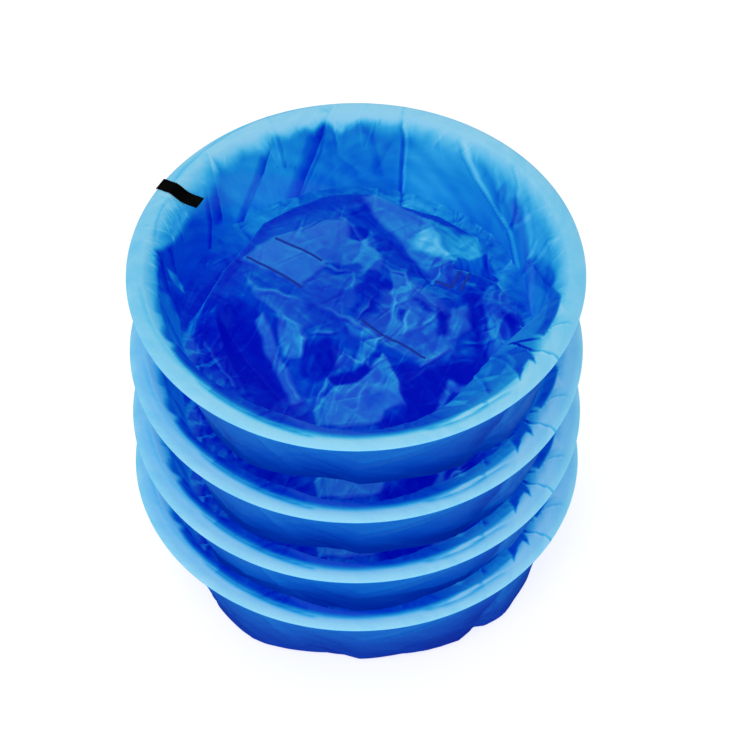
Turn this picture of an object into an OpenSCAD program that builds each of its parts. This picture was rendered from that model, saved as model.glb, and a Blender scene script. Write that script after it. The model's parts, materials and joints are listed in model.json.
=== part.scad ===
// Stack of four nested disposable film-lined basins (a bag liner on a rigid ring), millimetres, +Z up.
// Each unit is a rigid ring with a soft film bag: the film wraps over the ring, hangs outside it
// as a smooth bowl, lines it inside, and the rest of the bag lies gathered in the middle.
// The origin is the centre of the bottom unit's base.

/* [Unit] */
// Outer diameter of a rim, across the film
rim_d = 160; // [156:1:170]
// Height of one unit, from its base to the top of its rim
unit_h = 42; // [40:1:46]
// Radius of the bag's base, before its corner is rounded
base_r = 62.5; // [58:0.5:63]
// Radius that rounds the corner between base and wall
corner_r = 7; // [5:0.5:8]

/* [Ring] */
// Width of the flat crest of the ring
crest_w = 5.4; // [4.5:0.1:6]
// Depth and width of the sloping shoulder inside the crest
shoulder = 4.4; // [3.5:0.1:5]
// Height of the short collar below the shoulder
collar_h = 2.2; // [1.5:0.1:3]
// Height of the lip that turns down at the outer edge
lip_h = 2.2; // [2:0.1:3]
// Wall thickness of the ring
ring_t = 1.1; // [0.8:0.05:1.2]

/* [Film] */
// Thickness that stands for the film and its small wrinkles
film_t = 0.4; // [0.3:0.05:0.5]
// Height of the gathered film in the top unit, which nothing presses down
free_heap_h = 33; // [30:0.5:34]
// Height of the gathered film where it meets the wall
heap_edge_h = 21; // [18:0.5:23]

/* [Stack] */
// Rise from the first unit to the second
pitch_1 = 27.6; // [26:0.2:30]
// Rise from the second unit to the third
pitch_2 = 33.6; // [31:0.2:36]
// Rise from the third unit to the fourth
pitch_3 = 39; // [36:0.2:41]

/* [Closure tie] */
// Direction of the tie, anticlockwise from +X
tie_azimuth = 150; // [120:5:180]
// Width of the tie
tie_w = 5.2; // [4:0.2:7]
// Thickness of the tie
tie_t = 0.6; // [0.4:0.1:0.8]
// Length of the free tail in the top unit
tie_tail = 12; // [9:0.5:13]
// Length of the free tail in the lower units, where a bag stands above it
tie_tail_nested = 7.6; // [6:0.2:8]

/* [Hidden] */
UNITS = [1, 2, 3, 4];
PIECES = [
    "collar_ring", "film_cuff", "hem_weld", "outer_film", "liner_wall",
    "gathered_film", "bottom_seal", "volume_scale", "tie_anchor", "tie_tail"
];

gap = 0.1;
round_fn = 180;
film_blue = [0.10, 0.42, 0.82, 0.8];
deep_blue = [0.02, 0.16, 0.72];
pale_blue = [0.50, 0.78, 0.94, 0.8];
ring_white = [0.93, 0.96, 0.98];
ink = [0.04, 0.08, 0.30];
tie_black = [0.03, 0.03, 0.03];

// Base height of each unit in the stack
unit_z = [0, pitch_1, pitch_1 + pitch_2, pitch_1 + pitch_2 + pitch_3];

// Ring, worked inwards from the film's outer surface
ring_top = unit_h - film_t - gap;
ring_r = rim_d / 2 - film_t - gap;
edge_round = 1.6;
crest_r = ring_r - crest_w;
collar_r = crest_r - shoulder;
collar_draft = 0.4;

// Bag
hem_w = 3.6;
hem_t = 0.45;
flange_z = ring_top - ring_t - gap;
flange_out_r = ring_r - ring_t - 0.5;
wall_top_r = ring_r - 4.1;
corner_steps = 8;
liner_top_r = collar_r - collar_draft - film_t - 0.5;
liner_top_z = ring_top - shoulder - collar_h - film_t - 4 * gap;
liner_low_r = 63.6;
liner_low_z = heap_edge_h - 1;

// Gathered film
heap_r = 62;
heap_floor = 1.6;
heap_floor_r = base_r - corner_r - 4;
heap_waist_r = base_r - 2;
heap_waist_z = corner_r + 1;
plateau_r = 44;
heap_sectors = 36;
heap_rings = 9;
seat_gap = 0.9;
heap_h = [pitch_1 - seat_gap, pitch_2 - seat_gap, pitch_3 - seat_gap, free_heap_h];
slump = [0, 0, 1, 6];
slump_azimuth = 222;
seal_size = [96, 8, 0.5];

// Printed scale: rows of graduation lines, each with its middle, direction and count
mark_t = 0.35;
mark_w = 0.8;
mark_len = 5;
mark_rows = [[-22, 24, -22, 5], [24, 14, 60, 4]];
mark_pitch = 4.5;

// Tie
tie_crease_r = 75;
tie_droop = 0.19;
tie_curl = 0.4;
crease_gap = 0.15;

// A point list that follows an arc
function arc(c, r, from, to, n) =
    [for (i = [0 : n]) c + r * [cos(from + (to - from) * i / n), sin(from + (to - from) * i / n)]];

// Unit vector to the left of the way from a to b
function left(a, b) =
    let (d = (b - a) / norm(b - a))
    [-d[1], d[0]];

// Offset direction at point i of a line, with the length that keeps the wall even at a bend
function mitre(p, i) =
    i == 0 ? left(p[0], p[1])
    : i == len(p) - 1 ? left(p[i - 1], p[i])
    : let (a = left(p[i - 1], p[i]), b = left(p[i], p[i + 1])) (a + b) / (1 + a * b);

// Closed outline of a wall between two offsets, to the left of a line
function ribbon(p, near, far) = concat(
    [for (i = [0 : len(p) - 1]) p[i] + near * mitre(p, i)],
    [for (i = [len(p) - 1 : -1 : 0]) p[i] + far * mitre(p, i)]
);

// The ring's upper surface, from the foot of its lip over the crest to the foot of its collar
function ring_line() = concat(
    [[ring_r, ring_top - lip_h]],
    arc([ring_r - edge_round, ring_top - edge_round], edge_round, 0, 90, 6),
    [
        [crest_r, ring_top],
        [collar_r, ring_top - shoulder],
        [collar_r - collar_draft, ring_top - shoulder - collar_h]
    ]
);

// The bag's outer surface, from its welded flange down the wall and across the base
function bag_line() = concat(
    [[flange_out_r, flange_z - film_t], [wall_top_r, flange_z - film_t]],
    arc([base_r - corner_r, corner_r], corner_r, -8, -90, corner_steps),
    [[0, 0]]
);

module revolve(outline) {
    rotate_extrude($fn = round_fn) polygon(outline);
}

// Places a unit's piece at its height in the stack
module in_unit(u) {
    translate([0, 0, unit_z[u - 1]]) children();
}

// Rigid ring: lip, flat crest, sloping shoulder and a short collar
module collar_ring() {
    color(ring_white) revolve(ribbon(ring_line(), 0, ring_t));
}

// Film stretched over the ring, with its edge turned in below the lip
module film_cuff() {
    turned_in = [[ring_r - hem_w, ring_top - lip_h]];
    color(pale_blue) revolve(ribbon(concat(turned_in, ring_line()), -gap, -gap - film_t));
}

// Heat-sealed hem between the cuff's turned-in edge and the bag's flange
module hem_weld() {
    inner_r = ring_r - hem_w + gap;
    low_z = ring_top - lip_h - gap / 2;
    color(film_blue)
        translate([0, 0, low_z])
            difference() {
                cylinder(h = hem_t, r = flange_out_r - gap, $fn = round_fn);
                translate([0, 0, -1]) cylinder(h = hem_t + 2, r = inner_r, $fn = round_fn);
            }
}

// Smooth outside of the bag: flange, tapered wall, rounded corner and flat base
module outer_film() {
    color(film_blue) revolve(ribbon(bag_line(), 0, -film_t));
}

// Film that lines the inside, between the collar and the gathered film
module liner_wall() {
    line = [[liner_top_r, liner_top_z], [liner_low_r, liner_low_z]];
    color(film_blue) revolve(ribbon(line, 0, -film_t));
}

// Height of the gathered film at a radius and azimuth: a plateau that falls to the wall,
// higher towards the back and slumped at the front left in the free unit
function heap_z(u, r, a) =
    let (
        fall = max(0, (r - plateau_r) / (heap_r - plateau_r)),
        shape = 1 - fall * fall * (3 - 2 * fall),
        sag = slump[u - 1] * pow(sin(min(90, 90 * r / plateau_r)), 2) * (1 + cos(a - slump_azimuth)) / 2
    )
    heap_edge_h + (heap_h[u - 1] - heap_edge_h - sag) * shape;

// One ring of the heap's surface
function heap_ring(r, z_of) = [
    for (k = [0 : heap_sectors - 1])
        let (a = 360 * k / heap_sectors)
        [r * cos(a), r * sin(a), z_of(a)]
];

// Closed solid under the gathered film's surface
module heap(u) {
    n = heap_sectors;
    top_radii = [for (i = [0 : heap_rings - 1]) heap_r * (1 - i / heap_rings)];
    rings = concat(
        heap_ring(heap_floor_r, function (a) heap_floor),
        heap_ring(heap_waist_r, function (a) heap_waist_z),
        [for (r = top_radii) each heap_ring(r, function (a) heap_z(u, r, a))]
    );
    points = concat(rings, [[0, 0, heap_floor], [0, 0, heap_z(u, 0, 0)]]);
    ring_count = len(rings) / n;
    floor_point = len(rings);
    top_point = floor_point + 1;
    last = (ring_count - 1) * n;
    faces = concat(
        [for (k = [0 : n - 1]) [floor_point, k, (k + 1) % n]],
        [
            for (j = [0 : ring_count - 2]) for (k = [0 : n - 1])
                each [
                    [j * n + k, (j + 1) * n + k, (j + 1) * n + (k + 1) % n],
                    [j * n + k, (j + 1) * n + (k + 1) % n, j * n + (k + 1) % n]
                ]
        ],
        [for (k = [0 : n - 1]) [last + k, top_point, last + (k + 1) % n]]
    );
    polyhedron(points, faces);
}

// The rest of the bag, gathered loosely inside the ring
module gathered_film(u) {
    color(deep_blue) heap(u);
}

// Flat heat seal across the bag's bottom, folded in under the gathered film
module bottom_seal() {
    color(film_blue)
        translate([0, 0, film_t + 2 * gap + seal_size[2] / 2])
            cube(seal_size, center = true);
}

// Outlines of the graduation lines, seen from above
module mark_outlines() {
    for (row = mark_rows)
        translate([row[0], row[1], 0])
            rotate(row[2])
                for (i = [0 : row[3] - 1])
                    translate([mark_pitch * (i - (row[3] - 1) / 2), 0, 0])
                        cube([mark_w, i % 2 == 0 ? mark_len : mark_len * 0.6, 3 * unit_h], center = true);
}

// Printed volume graduations, lying on the gathered film
module volume_scale(u) {
    color(ink)
        intersection() {
            mark_outlines();
            difference() {
                translate([0, 0, gap + mark_t]) heap(u);
                translate([0, 0, gap]) heap(u);
            }
        }
}

// A strip as wide as the tie, along a line in the radial plane
module tie_strip(line) {
    rotate([0, 0, tie_azimuth])
        rotate([90, 0, 0])
            linear_extrude(tie_w, center = true)
                polygon(ribbon(line, 0, tie_t));
}

// Fixed end of the tie, flat on the crest
module tie_anchor() {
    z = unit_h + gap / 2 + tie_t;
    color(tie_black) tie_strip([[rim_d / 2 - 0.2, z], [tie_crease_r + crease_gap, z]]);
}

// Free tail of the tie, which starts at the crease and droops over the shoulder
module tie_tail(u) {
    z = unit_h + gap / 2 + tie_t;
    reach = u == max(UNITS) ? tie_tail : tie_tail_nested;
    drop = tie_droop * reach;
    tip_r = tie_crease_r - sqrt(reach * reach - drop * drop);
    mid_r = (tie_crease_r + tip_r) / 2;
    line = [
        [tie_crease_r - crease_gap, z],
        [crest_r - 0.4, z],
        [mid_r, z - drop],
        [tip_r, z - drop + tie_curl]
    ];
    color(tie_black) tie_strip(line);
}

for (u = UNITS) {
    in_unit(u) collar_ring();
    in_unit(u) film_cuff();
    in_unit(u) hem_weld();
    in_unit(u) outer_film();
    in_unit(u) liner_wall();
    in_unit(u) gathered_film(u);
    in_unit(u) bottom_seal();
    in_unit(u) volume_scale(u);
    in_unit(u) tie_anchor();
    in_unit(u) tie_tail(u);
}
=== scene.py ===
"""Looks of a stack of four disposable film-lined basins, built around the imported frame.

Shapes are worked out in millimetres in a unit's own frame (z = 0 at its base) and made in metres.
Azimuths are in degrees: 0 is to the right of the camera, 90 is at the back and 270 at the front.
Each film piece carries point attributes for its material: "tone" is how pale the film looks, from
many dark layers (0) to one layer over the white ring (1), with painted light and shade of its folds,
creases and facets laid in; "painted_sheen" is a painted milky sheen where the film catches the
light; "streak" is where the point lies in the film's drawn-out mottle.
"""
import json
import math
import random

import bpy
import numpy as np
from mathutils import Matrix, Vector, geometry
from mathutils.bvhtree import BVHTree


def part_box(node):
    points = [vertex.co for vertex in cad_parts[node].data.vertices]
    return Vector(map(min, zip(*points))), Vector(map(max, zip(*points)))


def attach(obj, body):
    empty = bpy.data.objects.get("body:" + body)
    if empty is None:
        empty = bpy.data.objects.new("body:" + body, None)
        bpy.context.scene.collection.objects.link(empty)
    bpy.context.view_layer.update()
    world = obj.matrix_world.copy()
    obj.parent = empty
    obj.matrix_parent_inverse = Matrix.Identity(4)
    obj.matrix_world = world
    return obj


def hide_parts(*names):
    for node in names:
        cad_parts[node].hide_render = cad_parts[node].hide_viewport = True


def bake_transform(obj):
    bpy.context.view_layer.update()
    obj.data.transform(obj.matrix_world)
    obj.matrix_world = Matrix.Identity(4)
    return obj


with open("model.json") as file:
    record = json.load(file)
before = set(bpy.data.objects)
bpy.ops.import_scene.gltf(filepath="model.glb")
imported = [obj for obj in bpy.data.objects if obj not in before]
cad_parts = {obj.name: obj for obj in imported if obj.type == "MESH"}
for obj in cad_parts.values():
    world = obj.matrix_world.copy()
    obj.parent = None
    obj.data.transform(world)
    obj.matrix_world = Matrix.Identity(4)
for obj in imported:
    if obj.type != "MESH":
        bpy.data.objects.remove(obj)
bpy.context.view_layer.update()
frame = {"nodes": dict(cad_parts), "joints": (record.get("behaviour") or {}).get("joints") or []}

MM = 0.001
UNITS = (1, 2, 3, 4)
TOP = max(UNITS)

# ------------ places, from the frame
BASE_Z = {u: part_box(f"outer_film_{u}")[0][2] / MM for u in UNITS}
RIM_R = (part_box("film_cuff_1")[1][0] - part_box("film_cuff_1")[0][0]) / 2 / MM
UNIT_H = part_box("film_cuff_1")[1][2] / MM - BASE_Z[1]
RISE = {u: BASE_Z[u + 1] - BASE_Z[u] for u in UNITS[:-1]}
HINGE = {j["child"]: j for j in frame["joints"] if j["name"].startswith("tie_turn")}

# ------------ film sizes, mm
FILM = 0.22  # thickness of the film pieces
LIP_Z = UNIT_H - 3.05  # underside of the rim's outer lip
CREST_R = RIM_R - 6.0  # inner edge of the flat crest
SHOULDER = 4.8  # the shoulder's drop, and as much inward
COLLAR_R = CREST_R - SHOULDER
COLLAR_Z = UNIT_H - SHOULDER
WALL_TOP = (COLLAR_R - 0.7, COLLAR_Z - 2.8)  # radius and height, as in the next three
WALL_LOW = (63.2, 20.0)
WALL_FOOT = (60.4, 14.0)
BAG_TOP = (75.3, 39.9)
HEAP_R = 62.2  # radius of the gathered film
HEAP_Z = 16.5  # lowest height of the gathered film
DEGREE = 1.2  # length of one degree around the wall, about


def srgb(*rgb):
    """Linear colour of an 8-bit sRGB colour."""
    return tuple((c / 255 / 12.92) if c <= 10 else ((c / 255 + 0.055) / 1.055) ** 2.4 for c in rgb) + (1.0,)


def smooth(x, low=0.0, high=1.0):
    """0 below low, 1 above high, and smooth between."""
    t = np.clip((x - low) / (high - low), 0, 1)
    return t * t * (3 - 2 * t)


def turn(a, b):
    """Signed angle from b to a in degrees, -180 to 180."""
    return (a - b + 180) % 360 - 180


def hump(az, centre, width):
    """A smooth bump of height 1 around an azimuth."""
    return np.exp(-((turn(az, centre) / width) ** 2))


def at_azimuth(table, az, column):
    """A column of a table whose rows start with an azimuth, read around the ring."""
    rows = np.array(table, float)
    return np.interp(az, rows[:, 0], rows[:, column], period=360)


def ring_points(R, A, Z):
    """Points from radius, azimuth and height, in one list."""
    return np.stack([R * np.cos(np.radians(A)), R * np.sin(np.radians(A)), Z], -1)


# ------------ meshes
def make_mesh(name, verts_mm, faces, tones=None, streaks=None, lift=0.0):
    """A mesh object from points in millimetres, with point attributes for its material."""
    verts = np.asarray(verts_mm, float) * MM
    verts[:, 2] += lift * MM
    mesh = bpy.data.meshes.new(name)
    mesh.from_pydata(verts.tolist(), [], faces)
    for key, values in (tones or {}).items():
        layer = mesh.attributes.new(key, "FLOAT", "POINT")
        layer.data.foreach_set("value", np.asarray(values, dtype=np.float32).ravel())
    if streaks is not None:
        layer = mesh.attributes.new("streak", "FLOAT_VECTOR", "POINT")
        layer.data.foreach_set("vector", np.asarray(streaks, dtype=np.float32).ravel())
    mesh.polygons.foreach_set("use_smooth", [True] * len(mesh.polygons))
    mesh.update()
    obj = bpy.data.objects.new(name, mesh)
    bpy.context.scene.collection.objects.link(obj)
    return obj


def grid_faces(rows, cols, closed=True, flip=False):
    """Quads of a grid of points, row by row; closed joins the last column to the first."""
    faces = []
    for i in range(rows - 1):
        for k in range(cols if closed else cols - 1):
            n = (k + 1) % cols
            quad = (i * cols + k, i * cols + n, (i + 1) * cols + n, (i + 1) * cols + k)
            faces.append(quad[::-1] if flip else quad)
    return faces


def thicken(obj, mm, offset=-1.0):
    """Gives a film surface its thickness."""
    mod = obj.modifiers.new("film", "SOLIDIFY")
    mod.thickness = mm * MM
    mod.offset = offset
    mod.use_rim = True
    return mod


def meridian(points, step, rounds=3):
    """Evenly spaced points along a line whose corners are cut round."""
    line = np.array(points, float)
    for _ in range(rounds):
        a, b = line[:-1], line[1:]
        cut = np.empty((2 * len(a), 2))
        cut[0::2], cut[1::2] = a * 0.75 + b * 0.25, a * 0.25 + b * 0.75
        line = np.vstack([line[:1], cut, line[-1:]])
    gaps = np.hypot(*np.diff(line, axis=0).T)
    s = np.concatenate([[0], np.cumsum(gaps)])
    even = np.linspace(0, s[-1], max(2, round(s[-1] / step)) + 1)
    out = np.stack([np.interp(even, s, line[:, 0]), np.interp(even, s, line[:, 1])], -1)
    return out, even


def ring_streaks(az, along, waves=9.0, stretch=0.12):
    """Texture places on a ring whose pattern is drawn out along the film, without a seam."""
    a = np.radians(az)
    return np.stack([waves * np.cos(a), waves * np.sin(a), along * stretch], -1).reshape(-1, 3)


def noise_ring(az, seed, waves, low=3, high=60):
    """Smooth random wave around the ring, between -1 and 1."""
    rng = random.Random(seed)
    total = np.zeros_like(az, dtype=float)
    for _ in range(waves):
        n, _spare = rng.randint(low, high), rng.random()
        total += np.sin(np.radians(az) * n + rng.uniform(0, 6.283)) * rng.uniform(0.4, 1)
    return total / (0.45 * waves)


def to_polyline(x, y, line, closed=False):
    """Distance from points to a line of points, and on which side of it they lie."""
    best = np.full(x.shape, 1e9)
    side = np.ones_like(best)
    pairs = list(zip(line, line[1:])) + ([(line[-1], line[0])] if closed else [])
    for (x0, y0), (x1, y1) in pairs:
        dx, dy = x1 - x0, y1 - y0
        t = np.clip(((x - x0) * dx + (y - y0) * dy) / (dx * dx + dy * dy), 0, 1)
        d = np.hypot(x - x0 - t * dx, y - y0 - t * dy)
        near = d < best
        best = np.where(near, d, best)
        side = np.where(near, np.sign(dx * (y - y0) - dy * (x - x0)), side)
    return best, side


def inside(x, y, line):
    """Whether points lie inside a closed outline."""
    odd = np.zeros(x.shape, bool)
    for (x0, y0), (x1, y1) in zip(line, line[1:] + line[:1]):
        if y0 != y1:
            odd ^= ((y0 > y) != (y1 > y)) & (x < (x1 - x0) * (y - y0) / (y1 - y0) + x0)
    return odd


# ------------ materials
def set_inputs(tree, node, inputs):
    """Sets a node's inputs to numbers or colours, and links those that are given a socket."""
    for key, value in inputs.items():
        if isinstance(value, bpy.types.NodeSocket):
            tree.links.new(value, node.inputs[key])
        else:
            node.inputs[key].default_value = value


def add_node(tree, kind, inputs=None, **settings):
    """A new shader node with its settings and inputs."""
    node = tree.nodes.new(f"ShaderNode{kind}")
    for key, value in settings.items():
        setattr(node, key, value)
    set_inputs(tree, node, inputs or {})
    return node


def new_material(name):
    """A material, its node tree and its surface shader."""
    mat = bpy.data.materials.new(name)
    mat.use_nodes = True
    return mat, mat.node_tree, mat.node_tree.nodes["Principled BSDF"]


# Film colours by tone: the lining and gathered film, and the darker outside of the bag
LINING_RAMP = [
    (0.00, (0, 8, 160)), (0.15, (0, 26, 168)), (0.30, (0, 54, 177)), (0.45, (6, 90, 182)),
    (0.60, (20, 126, 190)), (0.72, (44, 150, 200)), (0.85, (86, 172, 208)), (1.00, (128, 186, 212)),
]
BAG_RAMP = [
    (0.00, (0, 28, 128)), (0.20, (0, 44, 144)), (0.40, (4, 64, 158)), (0.60, (8, 84, 168)),
    (0.75, (12, 98, 174)), (1.00, (50, 144, 200)),
]


SHEEN_COLOUR = srgb(56, 116, 198)  # painted sheen: the pale milky colour of film that catches the light
GLINT = srgb(70, 170, 250)  # reflections on film, tinted by the film around them


def film_material(name, ramp_stops, roughness=0.4, bump=0.12, painted_glow=0.66, gloss=0.3, mottling=0.24):
    """Blue film: its colour follows how many layers lie over each other and what is behind them.

    A little of its own colour is added as light, a painted glow that stands in for the light thin film lets
    through and evenly lightens the film's shaded hollows.
    """
    mat, tree, bsdf = new_material(name)
    place = add_node(tree, "TexCoord").outputs["Object"]
    tone = add_node(tree, "Attribute", attribute_name="tone").outputs["Fac"]
    painted_sheen = add_node(tree, "Attribute", attribute_name="painted_sheen").outputs["Fac"]
    streak = add_node(tree, "Attribute", attribute_name="streak").outputs["Vector"]
    noise = {"Vector": streak, "Scale": 1.0, "Detail": 6, "Roughness": 0.6}
    mottle = add_node(tree, "TexNoise", noise).outputs["Fac"]
    shift = {0: mottle, 1: mottling, 2: -mottling / 2}
    vary = add_node(tree, "Math", shift, operation="MULTIPLY_ADD").outputs[0]
    level = add_node(tree, "Math", {0: tone, 1: vary}, operation="ADD", use_clamp=True).outputs[0]
    ramp = add_node(tree, "ValToRGB", {"Fac": level})
    elements = ramp.color_ramp.elements
    while len(elements) < len(ramp_stops):
        elements.new(0.5)
    for element, (at, rgb) in zip(elements, ramp_stops):
        element.position = at
        element.color = srgb(*rgb)
    # the painted sheen mixes a pale milky colour over the film where it catches the light
    layers = {"Factor": painted_sheen, "A": ramp.outputs["Color"], "B": SHEEN_COLOUR}
    colour = add_node(tree, "Mix", layers, data_type="RGBA").outputs["Result"]
    fine = add_node(tree, "TexNoise", {"Vector": place, "Scale": 260, "Detail": 4}).outputs["Fac"]
    height = add_node(tree, "Math", {0: fine, 1: mottle}, operation="ADD").outputs[0]
    crinkle = add_node(tree, "Bump", {"Strength": bump, "Distance": 0.0006, "Height": height})
    # the emission is a painted glow in the film's own colour
    set_inputs(tree, bsdf, {
        "Base Color": colour, "Emission Color": colour, "Emission Strength": painted_glow,
        "Normal": crinkle.outputs["Normal"], "Roughness": roughness,
        "Specular IOR Level": gloss, "Specular Tint": GLINT,
    })
    return mat


def plain_material(name, rgb, second, roughness, scale, bump, gloss=0.5):
    """Moulded or printed surface: two close tones in a fine mottle, with a fine bump."""
    mat, tree, bsdf = new_material(name)
    place = add_node(tree, "TexCoord").outputs["Object"]
    grain = add_node(tree, "TexNoise", {"Vector": place, "Scale": scale, "Detail": 5}).outputs["Fac"]
    tones = {"Factor": grain, "A": srgb(*rgb), "B": srgb(*second)}
    colour = add_node(tree, "Mix", tones, data_type="RGBA").outputs["Result"]
    relief = add_node(tree, "Bump", {"Strength": bump, "Distance": 0.0002, "Height": grain})
    set_inputs(tree, bsdf, {
        "Base Color": colour, "Normal": relief.outputs["Normal"],
        "Roughness": roughness, "Specular IOR Level": gloss,
    })
    return mat


LINING = film_material("lining_film", LINING_RAMP, roughness=0.42)
BAG = film_material("bag_film", BAG_RAMP, roughness=0.42, gloss=0.2)
HEAP = film_material("gathered_film", LINING_RAMP, roughness=0.34, bump=0.16, gloss=0.2, mottling=0.40)
RING = plain_material("ring_plastic", (236, 244, 250), (222, 234, 244), 0.42, 420, 0.15)
WELD = plain_material("weld_film", (18, 92, 190), (6, 66, 176), 0.38, 900, 0.5)
INK = plain_material("print_ink", (12, 54, 190), (26, 76, 208), 0.6, 1500, 0.1, gloss=0.2)
TIE = plain_material("tie_black", (0, 0, 0), (5, 5, 6), 0.6, 1800, 0.35, gloss=0.15)
FLOOR = plain_material("floor", (226, 227, 229), (222, 223, 226), 0.85, 6, 0.0)
FLOOR_LIGHT = {"Emission Color": (1, 1, 1, 1), "Emission Strength": 0.72}
set_inputs(FLOOR.node_tree, FLOOR.node_tree.nodes["Principled BSDF"], FLOOR_LIGHT)


# ------------ lining
# The line of the film over the ring and down the wall, from under the lip, and the length along it
LINING_LINE, LINING_S = meridian(
    [
        (RIM_R - 5.0, LIP_Z + 0.8), (RIM_R - 2.4, LIP_Z + 0.1), (RIM_R - 0.5, LIP_Z), (RIM_R, LIP_Z + 0.6),
        (RIM_R, UNIT_H - 1.5), (RIM_R - 1.6, UNIT_H), (RIM_R - 3.0, UNIT_H),
        (CREST_R + 1.0, UNIT_H), (CREST_R, UNIT_H),
        (CREST_R - 0.7, UNIT_H - 0.7), (COLLAR_R + 0.6, COLLAR_Z + 0.6), (COLLAR_R, COLLAR_Z),
        (COLLAR_R - 0.1, COLLAR_Z - 0.9), WALL_TOP, WALL_LOW, WALL_FOOT,
    ],
    0.62,
)
LINING_COLS = 900
OVER_CREST = (LINING_LINE[:, 0] < CREST_R) & (LINING_LINE[:, 1] > UNIT_H - 3)
S_EDGE = float(LINING_S[np.argmax(LINING_LINE[:, 1] > UNIT_H - 0.3)])
S_CREST = float(LINING_S[np.argmax(OVER_CREST)])
S_DEEP = float(LINING_S[-1])
INNER = LINING_S > S_CREST


def s_at_z(z):
    """Place along the lining, below the crest, where it reaches a height."""
    return float(np.interp(-z, -LINING_LINE[INNER, 1], LINING_S[INNER]))


def wall_r(z):
    """Radius of the plain lining at a height below the crest."""
    return np.interp(z, LINING_LINE[INNER, 1][::-1], LINING_LINE[INNER, 0][::-1])


S_COLLAR = s_at_z(COLLAR_Z)

# Where the lining hangs loose inside the rim: azimuth, how far in it reaches, how far it drops
LOOSE = [
    (0, 0, 0), (206, 0, 0), (216, 4, 2.4), (235, 6, 2.2), (252, 5.5, 1.6), (264, 2, 0.8), (276, 2, 1),
    (288, 6, 3.5), (300, 12, 8), (312, 17, 11), (324, 20, 13.5), (336, 19, 14), (345, 14, 12), (352, 7, 8),
    (358, 0, 0),
]
BAG_ABOVE_R = 67.6  # in the lower units the loose film stops here, clear of the bag above

# Around the lining: azimuth, depth below the rim where the pale film over the ring turns blue,
# and how pale the film is below that
AROUND = [
    (0, 4.5, 0.4), (5, 6, 0.42), (10, 9, 0.46), (15, 12, 0.5), (19, 17, 0.54), (22, 15, 0.55),
    (26, 12, 0.54), (30, 8, 0.5), (35, 6, 0.52), (38, 9, 0.55), (41, 4.5, 0.52), (50, 4.5, 0.6),
    (57, 4, 0.62), (60, 4, 0.66), (65, 3, 0.68), (72, 2.5, 0.66), (75, 3, 0.6), (78, 2, 0.53),
    (85, 1.8, 0.53), (90, 2, 0.52), (93, 3, 0.54), (96.5, 4.2, 0.55), (98, 2, 0.5), (105, 2.5, 0.53),
    (110, 4, 0.58), (115, 2, 0.6), (118, 4.5, 0.6), (125, 3, 0.58), (130, 2.5, 0.6), (134, 1, 0.55),
    (135.2, 5, 0.5), (138, 8.5, 0.46), (145, 9, 0.4), (150, 9, 0.34), (156, 10, 0.34), (162, 9.5, 0.32),
    (167, 6, 0.3), (171, 3, 0.28), (176, 4, 0.26), (182, 5, 0.38), (188, 4, 0.5), (198, 2.4, 0.46),
    (206, 1.4, 0.38), (215, 0.6, 0.3), (226, 0.1, 0.28), (246, -0.5, 0.28), (262, -0.8, 0.28),
    (288, -0.7, 0.34), (304, -0.4, 0.46), (313, -0.4, 0.52), (320, 0.4, 0.52), (326, 2.2, 0.48),
    (334, 2.6, 0.52), (343, 2.4, 0.5), (350, 2.4, 0.44), (355, 4.5, 0.4),
]
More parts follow.
